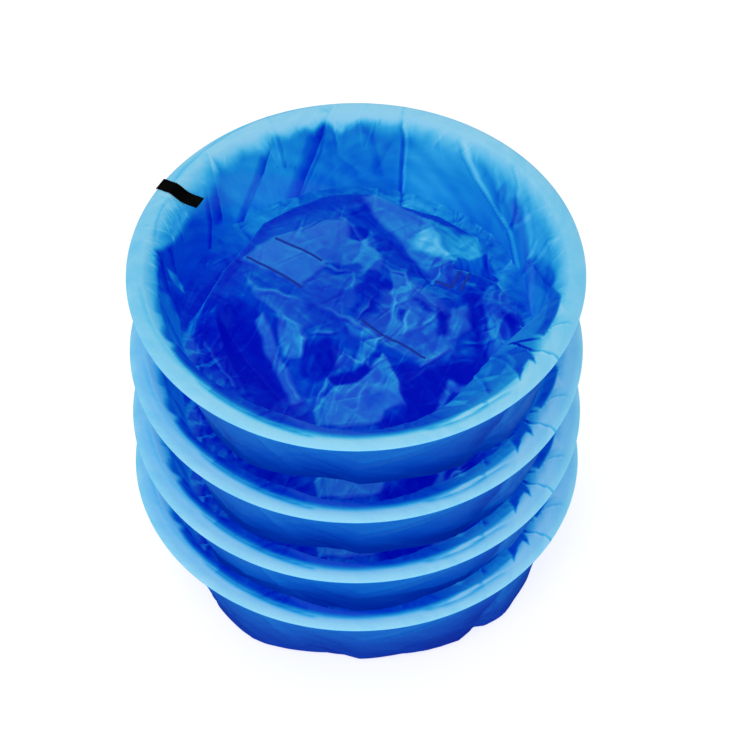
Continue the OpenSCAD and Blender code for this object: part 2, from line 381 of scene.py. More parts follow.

# Folds of the lining: points of azimuth and depth below the rim, height, width before and after
# the fold's edge, how much the doubled film and painted shade darken it, how much a painted glint
# lightens its edge
FOLDS = [
    ([(96.4, -1), (98.9, 1.8), (103, 12), (107, 20), (110, 26)], 1.5, 1.2, 5.5, 0.3, 0.04),
    ([(99, 3), (101, 12), (105, 20), (109, 27)], 0.4, 1, 1.6, 0.14, 0),
    ([(93.5, -2), (96.8, 0.2), (96.7, 4), (96, 9)], 0.45, 0.5, 1.4, 0.16, 0.05),
    ([(100.5, -2), (96.6, 0.1), (94.2, 3.6)], 0.4, 0.5, 1.2, 0.15, 0),
    ([(86.5, -2), (88, 1), (92.6, 3.8)], 0.3, 0.4, 1, 0.12, 0),
    ([(86, 5), (84, 12), (82, 20)], 0.6, 2.4, 3, 0.09, 0),
    ([(97, 8), (96, 14), (90, 20)], 0.5, 2, 4, 0.08, 0),
    ([(113.6, -2), (113.2, 2.3), (112.4, 14)], 0.5, 0.4, 1.6, 0.13, 0),
    ([(119.7, 13), (115, 13.6), (109.6, 15)], 0.2, 0.6, 0.9, 0.1, 0),
    ([(115.6, 1.4), (117, 6), (120.4, 13), (124.8, 18.5), (132, 26)], 1.6, 1, 3.6, 0.32, 0),
    ([(122, 15), (126, 19), (130, 24)], 0.5, 0.8, 1.2, -0.16, 0.12),
    ([(134.4, -0.5), (137.2, 5), (138, 13), (139, 20)], 1.2, 0.7, 4, 0.3, 0.06),
    ([(140.8, 6), (143.4, 18.6), (148, 26)], 0.9, 0.7, 1.8, 0.26, 0),
    ([(77.2, -2), (76.6, 3), (75.4, 5), (75.2, 16), (74.6, 26)], 1.3, 0.6, 1.8, 0.3, 0.14),
    ([(83.6, -0.5), (82.9, 3)], 0.3, 0.4, 1, 0.12, 0),
    ([(79, 7), (81.5, 13), (84, 19)], 0.7, 2, 3, 0.08, 0),
    ([(64, 1), (66.5, 6)], 0.5, 1, 4, -0.1, 0),
    ([(60, 2), (57.4, 4.8), (52.5, 10.5), (45, 15), (34.5, 19), (25, 25)], 1.4, 4.5, 0.7, 0.12, 0.2),
    ([(46, 4), (42, 9), (40, 14), (35, 20)], 0.7, 2, 5, 0.06, 0.05),
    ([(40.5, 0.6), (35.5, 3.4), (32.5, 9), (31, 16)], 1.2, 0.6, 3, 0.28, 0.06),
    ([(28, 6), (30, 12), (33, 17)], 0.7, 2.6, 1, 0.1, 0.1),
    ([(19.6, 11), (19, 19)], 0.9, 0.6, 2, 0.16, 0.1),
    ([(13, 2), (14, 9), (16, 18), (18, 25)], 1, 1, 4, 0.12, 0.1),
    ([(351, 2.5), (4, 12.8), (18, 19)], 1.1, 0.6, 5, 0.16, 0.1),
    ([(341, -1), (339, 1.4), (334, 3), (334, 10)], 0.5, 0.4, 1.6, 0.45, 0.08),
    ([(330, -2.4), (329, 2.5), (331, 6.6), (334, 12)], 0.8, 0.35, 1.3, 0.75, 0.1),
    ([(320.6, 3), (324, 8), (330, 20)], 0.6, 0.6, 2.4, 0.1, 0.08),
    ([(309, 2), (313, 8), (318, 18)], 0.6, 0.8, 3, 0.08, 0.08),
    ([(153.5, -1), (153.2, 1), (155, 6), (157, 12)], 0.6, 0.5, 1.6, 0.14, 0.05),
    ([(166, -0.5), (163.5, 4), (162, 9)], 0.6, 0.6, 2, 0.1, 0.08),
    ([(161, 2.5), (164, 8), (170, 20)], 1, 0.9, 3, 0.16, 0.12),
    ([(172, 2.2), (175, 7), (181, 20)], 1, 0.8, 2.6, 0.18, 0.06),
    ([(176, 12), (173, 18), (170, 25)], 0.8, 0.8, 3, -0.14, 0.08),
    ([(187, 2), (190, 9), (196, 20)], 0.9, 1.2, 4, 0.14, 0.1),
    ([(206, 3), (209, 10), (213, 20)], 0.9, 1.2, 4, 0.12, 0.08),
]


# Edges of doubled film that run along the rim: change of tone, points of azimuth and radius
RIM_LINES = [
    (0.16, [(100, 79.2), (115, 78.8), (130, 77.8), (140, 77), (149, 76.2)]),
    (0.12, [(153, 74), (158, 74), (163, 73), (170, 71)]),
    (0.1, [(345, 75.2), (356, 73.4), (9, 73.4), (23, 73.8), (34, 75), (44, 76.4), (52, 78)]),
    (0.1, [(185, 75.5), (205, 74.8), (222, 74.6)]),
    (0.22, [(222, 74.4), (240, 75), (252, 76.1), (261, 77.5)]),
    (0.24, [(287, 76.4), (298, 77.2), (307, 76.2), (315, 76.8)]),
]

# Areas of the lining: tone, softness of their edge, outline as azimuth and distance down from the crest
WALL_AREAS = [
    (0.5, 1, [(357, 12), (349, 7.5), (342, 6.2), (337, 7), (334, 18), (340, 28), (0, 30), (14, 27)]),
    (0.38, 0.7, [(17, 21), (4, 14.5), (356, 7), (351, 2.6), (344, 2.4), (336, 3), (337, 7), (342, 6.2),
     (349, 8), (358, 13), (12, 23)]),
    (0.34, 0.6, [(332, 11), (331, 8), (329.3, 4.4), (325, -1.5), (326, 2.4), (323, 2), (318, -1.8),
     (321, 4), (325, 6.5), (330, 14)]),
    (0.56, 1.2, [(300, 1.5), (315, 3), (319, 0.6), (306, -0.6)]),
    (0.6, 0.6, [(312, 9), (319, 6), (321, 8), (314, 12)]),
    (0.4, 0.7, [(322, 14), (316, 11), (318, 7), (325, 9), (329, 14), (326, 17)]),
    (0.58, 0.5, [(303, 14), (307, 7), (309, 8), (306, 17)]),
    (0.6, 0.5, [(297, 10), (302, 4), (304, 5), (300, 13)]),
    (0.36, 0.7, [(290, 6), (297, 3), (300, 5), (296, 14), (290, 14)]),
    # two painted highlights: pale streaks on the crest at the right front
    (1, 0.6, [(307, -1), (312, -1.6), (318, -2.6), (318.5, -4.4), (311, -4.6), (306, -3)]),
    (1, 0.5, [(296, -3.4), (302, -2.6), (306, -1.8), (305, -0.8), (300, -1), (295, -2.2)]),
    (0.98, 0.5, [(349, 2.4), (344, -1.9), (343, 1.8)]),
    (0.54, 0.6, [(171, 13), (173, 20), (170, 28), (168, 27), (169, 20)]),
    (0.46, 0.8, [(196, 7), (184, 8), (179, 17), (181, 28), (192, 28), (202, 20)]),
    (0.2, 1.2, [(179, 17), (172, 14), (172, 30), (181, 30)]),
]


LIP_TONE = 0.46  # the outer lip, where the film is in shade
TEETH = 70
GATHERS, GATHERS_ALL_ROUND = 230, 170
GATHERS_BY_TIE = (148, 175)


def fold_height(u, before, after):
    """Cross-section of a fold: steep before its edge, long and shallow after it."""
    return np.where(u < 0, np.clip(1 + u / before, 0, 1), np.clip(1 - u / after, 0, 1))


def place_of_depth(depth):
    """Place along the lining at a depth below the rim; negative depths lie outward on the crest."""
    return s_at_z(UNIT_H - depth) if depth > 0.05 else S_CREST + (depth - 0.05) * 3.0


def fold_relief(A, S, R, room):
    """How far the lining's folds push the film inward, how much doubled film and painted shade darken it, and
    how much painted glints lighten it.
    """
    push, dark, light = np.zeros_like(R), np.zeros_like(R), np.zeros_like(R)
    for path, height, before, after, drop, glint in FOLDS:
        az = [path[0][0]]
        for (a, _d), (b, _e) in zip(path, path[1:]):
            az.append(az[-1] + float(turn(b, a)))
        places = [place_of_depth(d) for _a, d in path]
        centre = np.interp(S, places, az)
        across = np.radians(turn(A, centre)) * R
        starts = smooth(S, places[0] - 2.5, places[0] + 1.0)
        ends = starts * (1 - smooth(S, places[-1] - 1.0, places[-1] + 3.0))
        push += height * fold_height(across, before, after) * ends * room
        # darkening by the doubled film and by painted shade
        dark += drop * ends * fold_height(across, before * 0.5, after) ** 0.8
        # painted glint: a thin pale line along the fold's edge
        light += glint * ends * np.clip(1 - np.abs(across + before * 0.7) / (0.8 + 0.3 * before), 0, 1)
    return push, dark, light


def add_gathers(rng, A, S, R, room, push, dark, light):
    """Adds the small gathers across the shoulder: all round, and then more beside the tie."""
    for k in range(GATHERS):
        a0 = rng.uniform(0, 360) if k < GATHERS_ALL_ROUND else rng.uniform(*GATHERS_BY_TIE)
        lean = rng.uniform(-0.45, 0.45)
        start = S_CREST + rng.uniform(-2.0, 3)
        end = start + rng.uniform(4, 15)
        across = np.radians(turn(A, a0 + (S - start) * lean)) * R
        ends = smooth(S, start - 1, start + 1.5) * (1 - smooth(S, end - 4, end))
        shape = fold_height(across, rng.uniform(0.4, 1.2), rng.uniform(0.8, 2.6)) * ends
        push += rng.uniform(0.10, 0.38) * shape * room
        # each gather darkens the film, as doubled film and painted shade, and gets a painted glint along its
        # edge
        dark += rng.uniform(0.0, 0.14) * shape
        light += rng.uniform(0.0, 0.12) * ends * np.clip(1 - np.abs(across) / 0.5, 0, 1)


def paint_areas(tone, A, S):
    """The lining's tone with its own areas laid over it."""
    for level, blur, outline in WALL_AREAS:
        middle = outline[0][0]
        flat = [(float(turn(a, middle)) * DEGREE, d) for a, d in outline]
        x, y = turn(A, middle) * DEGREE, S - S_CREST
        away, _side = to_polyline(x, y, flat, closed=True)
        weight = smooth(np.where(inside(x, y, flat), away, -away), -blur, blur)
        tone = tone + (level - tone) * weight
    return tone


def rim_line_shade(A, S):
    """How much the edges of doubled film along the rim darken it."""
    shade = np.zeros_like(S)
    for drop, line in RIM_LINES:
        at, radius = np.array(line, float).T
        place = np.interp(A, at, S_CREST + (CREST_R - radius))
        ends = smooth(A, at[0], at[0] + 3) * (1 - smooth(A, at[-1] - 3, at[-1]))
        shade = shade + drop * ends * fold_height(place - S, 0.35, 1.6)
    return shade


def loose_line(az):
    """The lining's line at one azimuth, with the film hanging loose inside the rim."""
    reach, drop = (float(at_azimuth(LOOSE, az, k)) for k in (1, 2))
    inner_r, inner_z = CREST_R - reach, UNIT_H - drop
    path, s = meridian(
        [
            (CREST_R, UNIT_H), ((CREST_R + inner_r) / 2, UNIT_H - 0.42 * drop), (inner_r, inner_z),
            (min(inner_r - 1.5, 66.5), inner_z - 7), (min(inner_r - 2.5, WALL_FOOT[0]), WALL_FOOT[1]),
        ],
        0.3, 2,
    )
    part = np.clip((LINING_S - S_CREST) / (S_DEEP - S_CREST), 0, 1) * s[-1]
    loose = np.stack([np.interp(part, s, path[:, 0]), np.interp(part, s, path[:, 1])], -1)
    share = smooth(reach, 0, 3) * INNER
    return LINING_LINE + (loose - LINING_LINE) * share[:, None]


def lining_shape(top, seed=7):
    """Points and tones of the lining; in the lower units it keeps clear of the bag above."""
    az = np.arange(LINING_COLS) * 360.0 / LINING_COLS
    A, S = np.meshgrid(az, LINING_S)
    lines = np.stack([loose_line(a) for a in az], 1)
    R, Z = lines[:, :, 0].copy(), lines[:, :, 1].copy()
    if not top:
        R = np.maximum(R, np.minimum(LINING_LINE[:, :1], BAG_ABOVE_R))
    along_r, along_z = np.gradient(R, axis=0), np.gradient(Z, axis=0)
    length = np.hypot(along_r, along_z) + 1e-9
    depth = UNIT_H - np.repeat(LINING_LINE[:, 1][:, None], LINING_COLS, 1)
    room = 0.08 + 0.92 * smooth(S, S_CREST - 2, S_COLLAR + 2)  # folds lie nearly flat on the crest
    push, dark, light = fold_relief(A, S, R, room)

    rng = random.Random(seed)
    pale, below = at_azimuth(AROUND, az, 1), at_azimuth(AROUND, az, 2)
    # teeth, where small gathers carry the pale film further down
    for _ in range(TEETH):
        a0, wide, long = rng.uniform(0, 360), rng.uniform(1.2, 4.5), rng.uniform(0.3, 2.4)
        pale += long * np.clip(1 - np.abs(turn(az, a0)) / wide, 0, 1) * smooth(pale, 0.0, 3.0)
    leave = np.array([place_of_depth(d) for d in pale])[None]
    add_gathers(rng, A, S, R, room, push, dark, light)
    soft = 1.6 + 2.2 * smooth(noise_ring(A, 13, 7, 2, 11), -0.6, 0.8) * (1 - 0.8 * hump(A, 268, 40))
    on_ring = 1 - smooth(S, leave - soft, leave + soft * 1.5)
    push += 0.35 * noise_ring(A, 11, 8, 5, 24) * smooth(S, S_COLLAR, S_DEEP - 4)
    push = np.minimum(push, np.where(depth < 19, 1.7, 3.0))
    R = R + along_z / length * push
    Z = Z - along_r / length * push
    if not top:
        hidden = 2.0 * (1 - smooth(Z, 25, 28))
        R = np.maximum(R, np.minimum(wall_r(Z), BAG_ABOVE_R) - 0.15 - hidden)

    pale_tone = 1.0 - 0.26 * smooth(S, S_CREST - 1.5, S_COLLAR + 1)
    pale_tone = pale_tone + 0.07 * hump(A, 100, 55) * smooth(S, S_CREST - 2, S_CREST)
    pale_tone = pale_tone - 0.08 * hump(A, 0, 50) - 0.08 * hump(A, 180, 45)
    low_tone = below[None] - 0.06 * smooth(depth, 10, 26)
    lip = LIP_TONE + (pale_tone - LIP_TONE) * smooth(Z, UNIT_H - 2.75, UNIT_H - 2.0)
    pale_tone = np.where(S < S_EDGE, lip, pale_tone)
    tone = paint_areas(on_ring * pale_tone + (1 - on_ring) * low_tone, A, S)
    # the folds' darkening, partly painted shade, and their painted glints are laid on the tone
    tone = tone - dark * (0.40 + 0.60 * (1 - on_ring)) + light - rim_line_shade(A, S)
    tone = tone + 0.05 * noise_ring(A + S * 1.3, 37, 9, 6, 40) * smooth(S, S_CREST, S_COLLAR)
    # painted sheen: random milky patches on the film below the ring
    painted_sheen = 0.18 * (1 - on_ring) * smooth(noise_ring(A + S * 1.7, 31, 7, 3, 20), 0.1, 0.9)
    verts = ring_points(R, A, Z).reshape(-1, 3)
    tones = {"tone": np.clip(tone, 0, 1), "painted_sheen": np.clip(painted_sheen, 0, 1)}
    return verts, tones, ring_streaks(A + 1.1 * (S - S_CREST) * np.sin(np.radians(3 * A)), S)


TOP_LINING, LOWER_LINING = lining_shape(True), lining_shape(False)


def lining(unit):
    """Film over the ring and down the inside wall, as one sheet with its folds."""
    faces = grid_faces(len(LINING_S), LINING_COLS)
    verts, tones, streaks = TOP_LINING if unit == TOP else LOWER_LINING
    obj = make_mesh(f"bag_lining_{unit}", verts, faces, tones, streaks, lift=BASE_Z[unit])
    thicken(obj, FILM)
    obj.data.materials.append(LINING)
    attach(obj, f"unit_{unit}")
    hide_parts(f"film_cuff_{unit}", f"liner_wall_{unit}")


# ------------ outside of the bag
BAG_COLS = 720
SEAT_R = 65.6  # radius of an upper unit's bag where it stands inside the unit below
PLEAT_AZ = 311  # the big pleat at the right front
BASE_SPOKES = 26

# Soft base: azimuth, radius, and how far its corner is drawn up
BASE = [
    (0, 62.5, 0.5), (60, 63, 0), (110, 62.5, 0), (150, 61, 0), (185, 61.5, 0), (208, 61.5, 0),
    (220, 65.5, 0), (236, 68, 0), (248, 66, 0), (260, 63.6, 0), (266, 64, 0), (271, 65.6, 0),
    (285, 65.4, 0), (297, 67.4, 0), (303, 68.1, 0), (307, 66.8, 0), (310, 67, 0.3), (313, 69.2, 0.5),
    (318, 70.3, 0.5), (325, 69.5, 0.5), (334, 69, 0.5), (341, 68, 0.5), (348, 65.5, 0.5),
]

# Soft folds of the bag's front: change of tone as painted light and shade, push, width before and after,
# points of azimuth and height
BAG_FOLDS = [
    (0.08, 0.5, 1.2, 5, [(241, 34), (247, 20), (251, 12)]),
    (-0.08, 0.4, 1, 2.6, [(243, 26), (251, 14), (263, 5)]),
    (-0.07, 0.4, 0.8, 2.4, [(255, 24), (267, 12)]),
    (-0.06, 0.3, 0.8, 2, [(261, 28), (269, 22)]),
    (0.07, 0.4, 1.4, 3, [(272, 22), (283, 26), (296, 32)]),
    (-0.12, 0.8, 3.5, 1, [(315, 34), (308, 16)]),
    (0.08, 0.6, 1, 3.5, [(317, 34), (315, 20)]),
    (-0.08, 0.5, 1, 3, [(222, 36), (228, 24), (232, 14)]),
]


def bag_meridian(az, rows_wall=34, rows_corner=12, rows_base=22, corner=6.5):
    """The bag's outer line at one azimuth, from under the rim to the middle of the base."""
    base_r, lift = (float(at_azimuth(BASE, az, k)) for k in (1, 2))
    pts = []
    for i in range(rows_wall):
        t = i / rows_wall
        z = BAG_TOP[1] + (corner + lift - BAG_TOP[1]) * t
        pts.append((BAG_TOP[0] + (base_r - BAG_TOP[0]) * t**1.1, z))
    for i in range(rows_corner):
        a = math.radians(90 * i / rows_corner)
        pts.append((base_r - corner + corner * math.cos(a), lift + corner * (1 - math.sin(a))))
    for i in range(rows_base + 1):
        t = i / rows_base
        pts.append(((base_r - corner) * (1 - t), lift * (1 - float(smooth(np.array(t), 0.0, 0.35)))))
    return np.array(pts)


def bag_relief(A, R, Z):
    """How far soft folds push the bag's outside, and the painted light and shade they lay on its tone."""
    rng = random.Random(59)
    push, shade = np.zeros_like(R), np.zeros_like(R)
    for _ in range(80):
        a0 = rng.uniform(0, 360)
        lean = rng.choice((-1, 1)) * rng.uniform(0.4, 2.4)
        z0 = rng.uniform(2, 36)
        across = np.radians(turn(A, a0 + (Z - z0) * lean)) * R
        ends = np.exp(-(((Z - z0) / rng.uniform(7, 16)) ** 2))
        shape = fold_height(across, rng.uniform(0.8, 3), rng.uniform(3, 9)) * ends
        push += rng.uniform(-0.7, 0.7) * shape
        # painted light and shade of each soft fold
        shade += rng.uniform(-0.06, 0.05) * shape
    for change, height, before, after, line in BAG_FOLDS:
        middle = line[0][0]
        path = [(float(turn(a, middle)) * DEGREE, z) for a, z in line]
        away, side = to_polyline(turn(A, middle) * DEGREE, Z, path)
        shape = fold_height(away * side, before, after)
        push += height * shape
        shade += change * shape
    across = np.radians(turn(A, PLEAT_AZ + (Z - 20) * 0.25)) * R
    ends = 1 - smooth(Z, 22, 37)
    push += 1.0 * fold_height(across, 7.0, 1.2) * ends - 0.6 * fold_height(across - 5, 3.0, 6.0) * ends
    # painted shade on one side of the big pleat
    shade -= 0.12 * smooth(-across, -1, 1.0) * np.exp(-((across / 22) ** 2)) * ends
    return push, shade


def bag_outside(unit):
    """Smooth outside of the bag under the rim, with soft diagonal folds and its gathered base."""
    az = np.arange(BAG_COLS) * 360.0 / BAG_COLS
    lines = np.stack([bag_meridian(a) for a in az], 1)
    R, Z = lines[:, :, 0].copy(), lines[:, :, 1].copy()
    rows = R.shape[0]
    A = np.repeat(az[None], rows, 0)
    wall = smooth(Z, 0.3, 7) * (1 - smooth(Z, 37.5, 39.6))
    push, shade = bag_relief(A, R, Z)
    R = R + push * wall
    if unit > 1:
        rim_below = UNIT_H - RISE[unit - 1]
        widen = np.maximum(0, Z - rim_below + 6.0) * 0.22 + np.maximum(0, Z - rim_below - 1.0) * 1.3
        R = np.minimum(R, SEAT_R + widen)
    # gathers that run in across the base
    base = 1 - smooth(Z, 0.2, 5)
    spokes = 0.5 + 0.5 * np.sin(np.radians(A) * BASE_SPOKES + 3.0 * noise_ring(A, 61, 5, 3, 9))
    Z = Z + base * 0.55 * spokes * smooth(R, 3, 12) * (1 - smooth(R, 46, 58))
    Z = Z + 0.45 * base * smooth(R, 50, 60) * spokes
    # darker toward the base, from more layers of film and from painted shade where the bag turns down; the
    # folds add their painted light and shade
    tone = 0.12 + 0.58 * smooth(Z, -4, 40) + shade * 1.3
    # one point closes the base, in place of the last row
    verts = ring_points(R, A, Z)[:-1].reshape(-1, 3)
    faces = grid_faces(rows - 1, BAG_COLS, flip=True)
    centre, last = len(verts), (rows - 2) * BAG_COLS
    verts = np.vstack([verts, [[0, 0, 0.05]]])
    faces += [(last + (k + 1) % BAG_COLS, last + k, centre) for k in range(BAG_COLS)]
    tones = {"tone": np.clip(np.append(tone[:-1].ravel(), tone[-1, 0]), 0, 1), "painted_sheen": np.zeros(len(verts))}
    streaks = np.vstack([ring_streaks(A + 1.6 * Z, Z, 7.0, 0.10)[:centre], [[0, 0, 0]]])
    obj = make_mesh(f"bag_outside_{unit}", verts, faces, tones, streaks, lift=BASE_Z[unit])
    thicken(obj, FILM)
    obj.data.materials.append(BAG)
    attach(obj, f"unit_{unit}")
    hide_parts(f"outer_film_{unit}")


# ------------ gathered film
PATTERN_Y = -1.6  # all of the gathered film's pattern is moved by this much
HEAP_N = 260  # points across its grid
HEAP_TOP = 34  # height of the free heap
SEAT_FLAT_R, SEAT_CORNER = 54, 9.5
BODY_TONE = 0.32
PATCH_LIFT = 0.35  # areas with a strong painted sheen lie this much higher
FINE_CREASES = 520
CREASE_LIES = (-42, -35, 62, 80, 20)
STREAK_LIE = math.radians(-38)

# Main ridges and hollows of the gathered film in the free unit: x, y, z in millimetres
RIDGES = [
    [(-53, 2, 24), (-46, 15, 27), (-37, 27, 29), (-33, 34, 29.5), (-23, 40, 31), (-9, 46, 32), (4, 46, 32),
     (17, 40, 31.5), (29, 37, 30), (43, 27, 29.5), (46, 20, 29)],
    [(35, 13, 29), (43, 11, 28.5), (49, 8, 27.5), (54, 1, 26), (57, -4, 24)],
    [(8, 43, 33), (26, 32, 31.5), (33, 18, 29.5), (26, 14, 28)],
    [(-2, 37, 31), (7, 32, 29), (16, 22, 27), (25, 11, 26)],
    [(-37, 5, 29.5), (-26, -8, 28.5), (-19, -17, 27), (-14, -23, 25)],
    [(-31, 2, 30), (-20, -1, 30), (-12, -5, 29.5), (-4, -12, 28.5), (7, -19, 27), (24, -29, 25)],
    [(-12, 20, 32), (-6, 10, 29), (-2, 2, 31), (4, -5, 29)],
    [(2, 27, 27), (8, 16, 31), (14, 6, 28)],
    [(19, 2, 30), (31, 0, 29), (37, -10, 26), (33, -24, 25)],
    [(12, -3, 26), (21, -12, 28), (27, -22, 24)],
    [(-49, -4, 22), (-45, -18, 19), (-38, -34, 18)],
    [(-25, -11, 25), (-19, -23, 22.5), (-12, -37, 20)],
    [(-44, -8, 17), (-36, -22, 16), (-26, -36, 16)],
    [(-6, -26, 21), (2, -36, 21), (6, -48, 19)],
    [(42, -8, 22), (46, -22, 20), (42, -34, 20)],
    [(52, -6, 26), (49, -14, 24), (54, -24, 23)],
    [(16, -38, 23), (30, -36, 22), (38, -44, 21)],
]


# Where the film is crumpled most: x, y, reach
CRUMPLED = [
    (0, -26, 13), (50, -10, 12), (40, -40, 13), (14, -6, 11), (-22, -20, 8), (30, 10, 8), (-54, -18, 8),
]


def triangulate(points, chains):
    """Triangles through scattered points that keep the given chains as edges."""
    flat = [Vector(p[:2]) for p in points]
    out = geometry.delaunay_2d_cdt(flat, chains, [], 0, 1e-5)
    verts, faces, origin = out[0], out[2], out[3]
    heights = []
    for v, old in zip(verts, origin):
        if old:
            heights.append(points[old[0]][2])
        else:
            near = min(points, key=lambda p: (p[0] - v[0]) ** 2 + (p[1] - v[1]) ** 2)
            heights.append(near[2])
    return [(v[0], v[1], h) for v, h in zip(verts, heights)], faces


def drop_on(tree, x, y, default):
    """Height of a surface under a point."""
    hit = tree.ray_cast(Vector((x, y, 500)), Vector((0, 0, -1)))[0]
    return default if hit is None else hit[2]


def crumpling(x, y):
    """How crumpled the film is at a place, 0 to 1."""
    return max(math.exp(-(((x - cx) ** 2 + (y - cy) ** 2) / reach**2)) for cx, cy, reach in CRUMPLED)


def crumpled_surface(seed):
    """Surface of flat facets with sharp creases: the main ridges first, then finer and finer facets."""
    rng = random.Random(seed)
    points, chains = [], []

    def add_chain(chain):
        start = len(points)
        points.extend(chain)
        chains.extend((start + i, start + i + 1) for i in range(len(chain) - 1))

    for ridge in RIDGES:
        add_chain([(float(x), y + PATTERN_Y, float(z)) for x, y, z in ridge])
    # the foot of the two ridges at the back, where the heap falls to the wall
    for ridge in RIDGES[:2]:
        reach = [1 + 3.2 / math.hypot(x, y) for x, y, _z in ridge]
        add_chain([(x * out, y * out + PATTERN_Y, HEAP_Z) for (x, y, _z), out in zip(ridge, reach)])
    # the edge of the heap, and a ring just inside it that is higher at the front
    for azimuth in range(0, 360, 10):
        a = math.radians(azimuth)
        points.append(((HEAP_R + 3) * math.cos(a), (HEAP_R + 3) * math.sin(a), HEAP_Z))
        height = 17.5 if math.sin(a) < -0.3 else 16.0
        points.append((59.0 * math.cos(a + 0.08), 59.0 * math.sin(a + 0.08), height))
    verts, faces = triangulate(points, chains)
    tree = BVHTree.FromPolygons([Vector(v) for v in verts], faces)
    for count, height in ((110, 1.5), (520, 0.6), (1900, 0.2)):
        extra = []
        for _ in range(count):
            r = (HEAP_R + 1) * math.sqrt(rng.random())
            a = rng.uniform(0, 2 * math.pi)
            x, y = r * math.cos(a), r * math.sin(a)
            z = drop_on(tree, x, y, 18.0)
            extra.append((x, y, z + rng.uniform(-1, 1) * height * (0.30 + crumpling(x, y))))
        points += extra
        verts, faces = triangulate(points, chains)
        tree = BVHTree.FromPolygons([Vector(v) for v in verts], faces)
    return tree


def disc_grid(n, radius):
    """Points of an even square grid bent into a disc, and its quads."""
    u = np.linspace(-1, 1, n)
    U, V = np.meshgrid(u, u)
    x = U * np.sqrt(1 - V * V / 2) * radius
    y = V * np.sqrt(1 - U * U / 2) * radius
    return x.ravel(), y.ravel(), grid_faces(n, n, closed=False)
